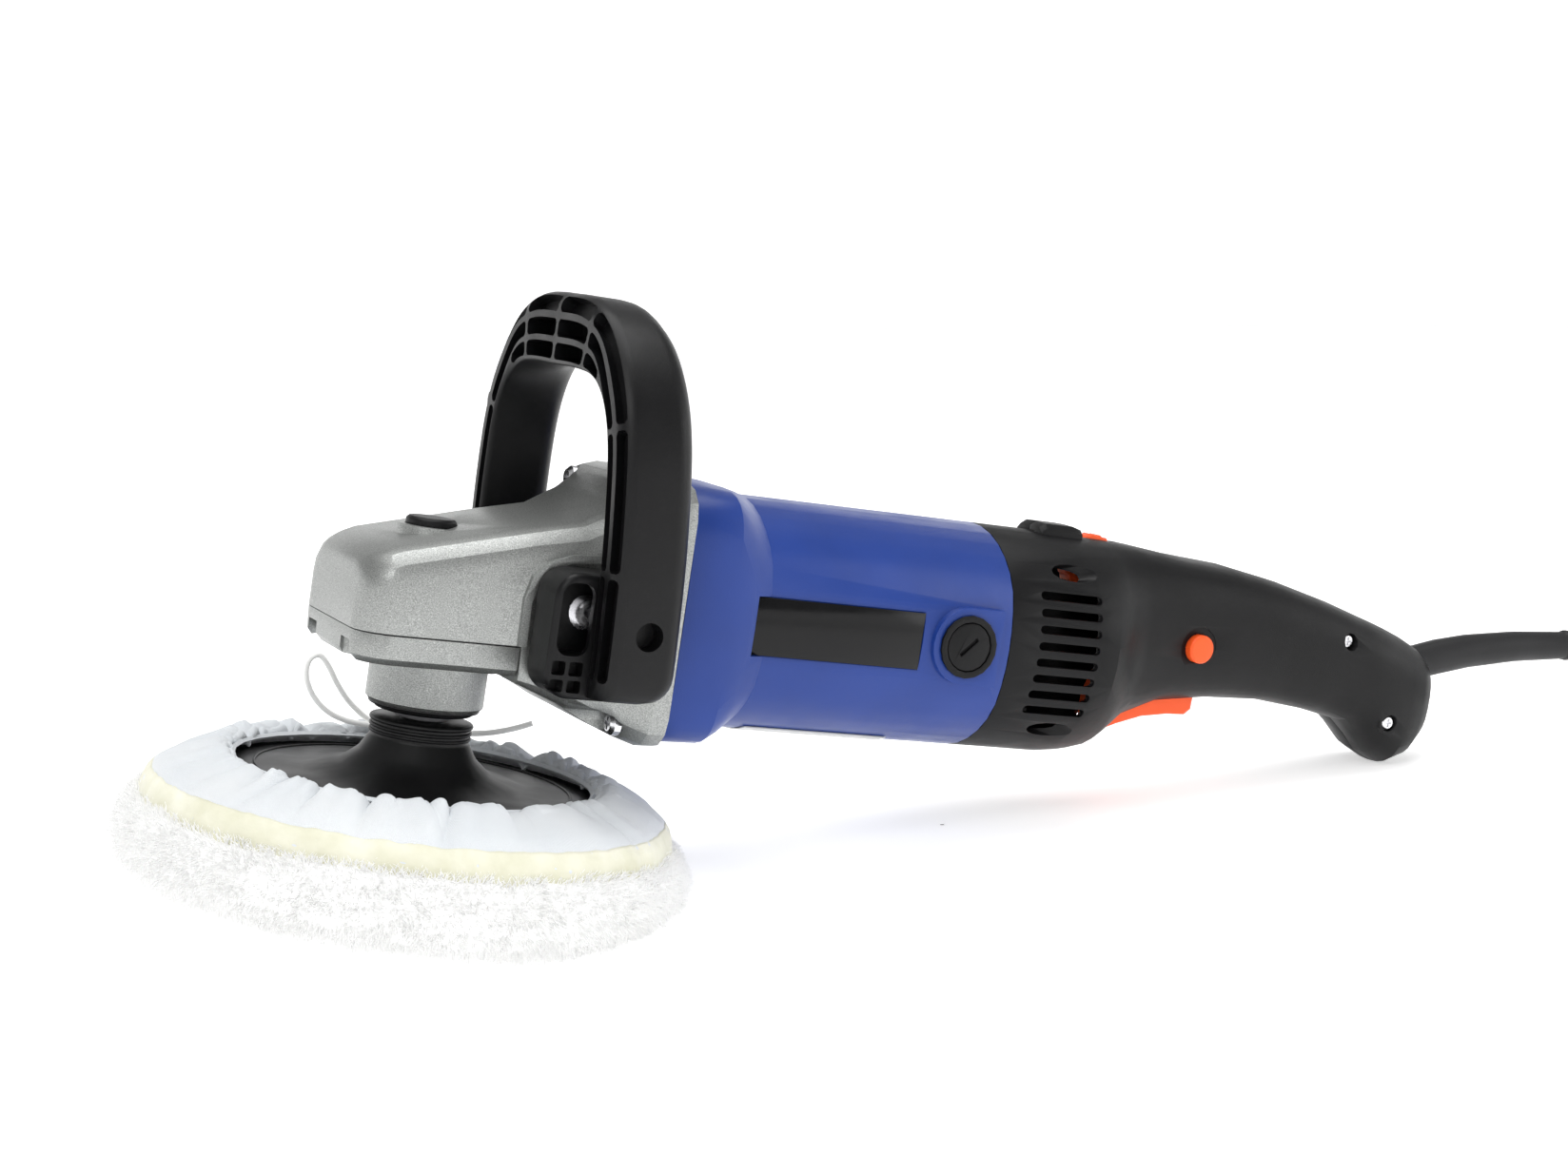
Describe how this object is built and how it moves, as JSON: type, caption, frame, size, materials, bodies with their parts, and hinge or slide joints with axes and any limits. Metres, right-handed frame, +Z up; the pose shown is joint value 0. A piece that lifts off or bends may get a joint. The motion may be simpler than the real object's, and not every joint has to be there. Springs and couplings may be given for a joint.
{
  "type": "rotary polisher",
  "caption": "Corded rotary polisher with a right-angle gear head, a D-shaped front handle, a paddle-type trigger and a drawstring wool bonnet over its backing plate.",
  "frame": {"origin": "on the ground under the middle of the machine, its free lead left out", "axes": "+X from the bonnet to the rear handle, +Y to the far side, +Z up from the ground"},
  "size_m": [0.8555, 0.238, 0.2152],
  "materials": {
    "casting": "die-cast, satin with a speckled paint",
    "blue": "fine-textured moulding",
    "black": "fine-textured moulding",
    "orange": "moulded, satin",
    "steel": "machined",
    "bright": "zinc plated",
    "copper": "enamelled copper wire and copper bars",
    "brass": "sintered bronze",
    "label": "glossy blank plate",
    "rating": "blank foil plate",
    "carbon": "carbon",
    "lead": "moulded rubber",
    "cloth": "cotton back with a wool pile",
    "cord": "braided cotton"
  },
  "bodies": {
    "machine": {"brush_cap_far": "black", "brush_cap_near": "black", "brush_holder_far": "black", "brush_holder_near": "black", "carbon_brush_far": "carbon", "carbon_brush_near": "carbon", "cord_coil": "lead", "cord_lead": "lead", "cover_screw_1": "bright", "cover_screw_2": "bright", "cover_screw_3": "bright", "cover_screw_4": "bright", "d_handle": "black", "field_coil_bottom": "copper", "field_coil_top": "copper", "flange_screw_1": "bright", "flange_screw_2": "bright", "flange_screw_3": "bright", "flange_screw_4": "bright", "front_bearing": "steel", "gear_housing": "casting", "gearbox_cover": "casting", "handle_bolt_far": "steel", "handle_bolt_near": "steel", "handle_screw_1": "steel", "handle_screw_2": "steel", "motor_housing": "blue", "name_plate_far": "label", "name_plate_near": "label", "plug": "lead", "rating_plate": "rating", "rear_bearing": "steel", "rear_housing_far": "black", "rear_housing_near": "black", "rear_screw_1": "steel", "rear_screw_2": "steel", "rear_screw_3": "steel", "rear_screw_4": "steel", "spindle_bearing": "steel", "spindle_bush": "brass", "stator_core": "steel", "strain_relief": "lead", "switch_body": "black", "trigger_pin": "steel"},
    "spindle_assembly": {"spindle": "bright", "crown_gear": "steel", "backing_plate": "black", "bonnet": "cloth", "drawstring": "cord"},
    "armature": {"armature_shaft": "bright", "armature_core": "steel", "armature_winding_front": "copper", "armature_winding_rear": "copper", "commutator": "copper", "fan": "black", "pinion": "steel"},
    "spindle_lock": {"lock_button": "black"},
    "trigger_lever": {"trigger": "orange"},
    "lock_on": {"lock_on_button": "orange"},
    "dial": {"speed_dial": "orange"}
  },
  "joints": [
    {"name": "spindle_spin", "type": "hinge", "parent": "machine", "child": "spindle_assembly", "pos_m": [-0.21079, 0, 0.07007], "axis": [0.1855, 0, 0.9826], "continuous": true},
    {"name": "armature_spin", "type": "hinge", "parent": "machine", "child": "armature", "pos_m": [-0.08424, 0, 0.09351], "axis": [0.9826, 0, -0.1855], "continuous": true},
    {"name": "spindle_lock_press", "type": "slide", "parent": "machine", "child": "spindle_lock", "axis": [-0.1855, 0, -0.9826], "range_m": [0, 0.0035], "stiffness_N_per_m": 800, "springref_m": -0.003},
    {"name": "trigger_pull", "type": "hinge", "parent": "machine", "child": "trigger_lever", "pos_m": [0.07815, 0, 0.0481], "axis": [0, -1, 0], "range_deg": [0, 7], "stiffness_Nm_per_rad": 1.5, "springref_deg": -11.46},
    {"name": "lock_on_press", "type": "slide", "parent": "machine", "child": "lock_on", "axis": [0, 1, 0], "range_m": [0, 0.003], "stiffness_N_per_m": 500, "springref_m": -0.002},
    {"name": "speed_dial_turn", "type": "hinge", "parent": "machine", "child": "dial", "pos_m": [0.06727, 0, 0.09828], "axis": [0, 1, 0], "range_deg": [-140, 140]}
  ],
  "couplings": [
    {"joint": "armature_spin", "follows": "spindle_spin", "ratio": 4}
  ]
}
